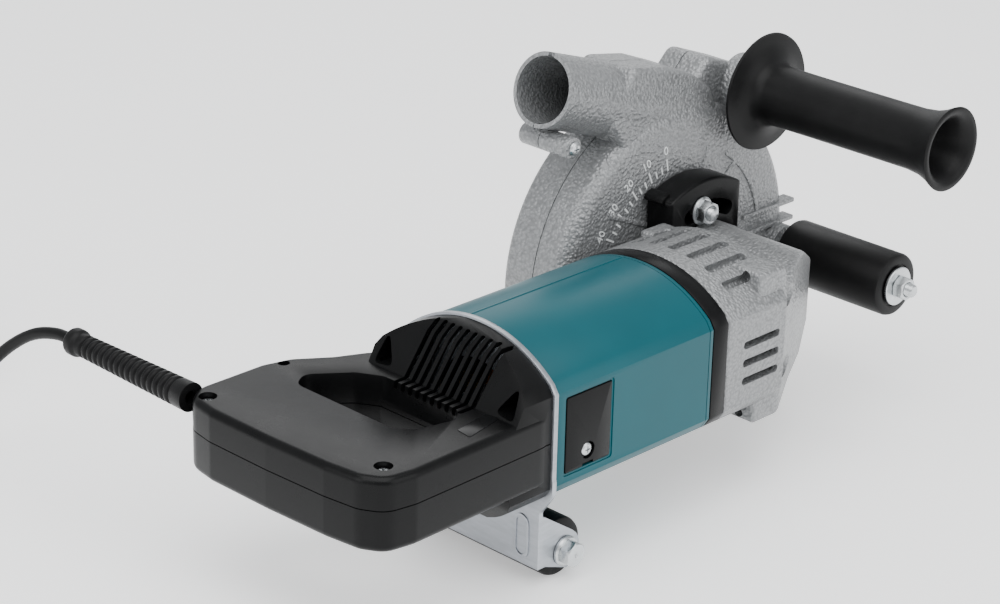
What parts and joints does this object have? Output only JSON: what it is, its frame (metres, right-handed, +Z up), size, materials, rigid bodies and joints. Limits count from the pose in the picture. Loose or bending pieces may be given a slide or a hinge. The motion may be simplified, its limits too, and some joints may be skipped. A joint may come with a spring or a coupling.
{
  "type": "wall chaser",
  "caption": "Corded wall chaser with blades side by side under a swivelling hood, guide rollers, D-shaped rear handle, side handle and dust port.",
  "frame": {"origin": "on the floor under the middle of the tool's footprint, without its mains lead; the motor axis is level 90 mm above it", "axes": "+X from the rear handle to the gear case along the motor axis, +Y to the blades along the spindle axis, +Z up"},
  "size_m": [0.5035, 0.5705, 0.2394],
  "materials": {
    "teal_housing": "moulded, satin",
    "black_plastic": "fine moulded grain",
    "black_rubber": "matt",
    "hammered_silver": "cast, silver hammer-finish paint",
    "zinc": "zinc plated",
    "steel": "machined",
    "fan_aluminium": "die cast",
    "copper": "copper, bare",
    "brass": "bare",
    "carbon": "pressed carbon"
  },
  "bodies": {
    "motor_unit": {"motor_housing": "teal_housing", "right_brush_cover": "black_plastic", "right_brush_cover_screw": "zinc", "right_brush_holder": "brass", "right_carbon_brush": "carbon", "left_brush_cover": "black_plastic", "left_brush_cover_screw": "zinc", "left_brush_holder": "brass", "left_carbon_brush": "carbon", "stator_core": "steel", "upper_field_coil": "copper", "lower_field_coil": "copper", "rear_bearing": "steel", "front_bearing": "steel", "bearing_plate": "black_plastic", "upper_case_screw": "zinc", "lower_case_screw": "zinc", "gear_case": "hammered_silver", "depth_clamp": "black_plastic", "spindle_end_bearing": "steel", "spindle_main_bearing": "steel", "roller_bracket": "zinc", "rear_axle_bolt": "zinc", "rear_axle_nut": "zinc", "handle_upper_shell": "black_plastic", "handle_lower_shell": "black_plastic", "left_grip_screw": "zinc", "right_grip_screw": "zinc", "right_bell_screw": "zinc", "left_bell_screw": "zinc", "switch_body": "black_plastic", "cord_guard": "black_rubber", "power_cord": "black_rubber", "cord_coil": "black_rubber", "coil_tie": "black_plastic", "mains_plug": "black_rubber"},
    "rotor": {"rotor_shaft": "steel", "armature": "steel", "cooling_fan": "fan_aluminium", "commutator": "copper"},
    "blade_spindle": {"spindle": "steel", "crown_gear": "steel", "inner_flange": "steel", "inner_blade": "steel", "blade_spacer": "steel", "outer_blade": "steel", "blade_nut": "steel"},
    "hood": {"hood_inner_half": "hammered_silver", "hood_outer_half": "hammered_silver", "side_handle": "black_rubber", "side_handle_bolt": "steel", "front_axle": "steel", "front_axle_washer": "zinc", "front_axle_nut": "zinc", "depth_stud": "zinc", "depth_nut": "zinc"},
    "front_roller": {"front_roller": "black_rubber"},
    "rear_roller": {"rear_roller": "black_rubber"},
    "trigger": {"trigger": "black_plastic"},
    "lock_button": {"lock_button": "black_plastic"}
  },
  "joints": [
    {"name": "hood_swing", "type": "hinge", "parent": "motor_unit", "child": "hood", "pos_m": [0.12475, 0, 0.09], "axis": [0, 1, 0], "range_deg": [-13, 32]},
    {"name": "spindle_spin", "type": "hinge", "parent": "motor_unit", "child": "blade_spindle", "pos_m": [0.12475, 0, 0.09], "axis": [0, 1, 0], "continuous": true},
    {"name": "rotor_spin", "type": "hinge", "parent": "motor_unit", "child": "rotor", "pos_m": [0, -0.009, 0.09], "axis": [1, 0, 0], "continuous": true},
    {"name": "front_roller_spin", "type": "hinge", "parent": "hood", "child": "front_roller", "pos_m": [0.21675, 0, 0.0816], "axis": [0, 1, 0], "continuous": true},
    {"name": "rear_roller_spin", "type": "hinge", "parent": "motor_unit", "child": "rear_roller", "pos_m": [-0.08605, 0, 0.017], "axis": [0, 1, 0], "continuous": true},
    {"name": "trigger_press", "type": "slide", "parent": "motor_unit", "child": "trigger", "axis": [-1, 0, 0], "range_m": [0, 0.006], "stiffness_N_per_m": 900, "springref_m": -0.004},
    {"name": "lock_button_press", "type": "slide", "parent": "motor_unit", "child": "lock_button", "axis": [-1, 0, 0], "range_m": [0, 0.004], "stiffness_N_per_m": 500, "springref_m": -0.003}
  ],
  "couplings": [
    {"joint": "rotor_spin", "follows": "spindle_spin", "ratio": 3.375}
  ]
}
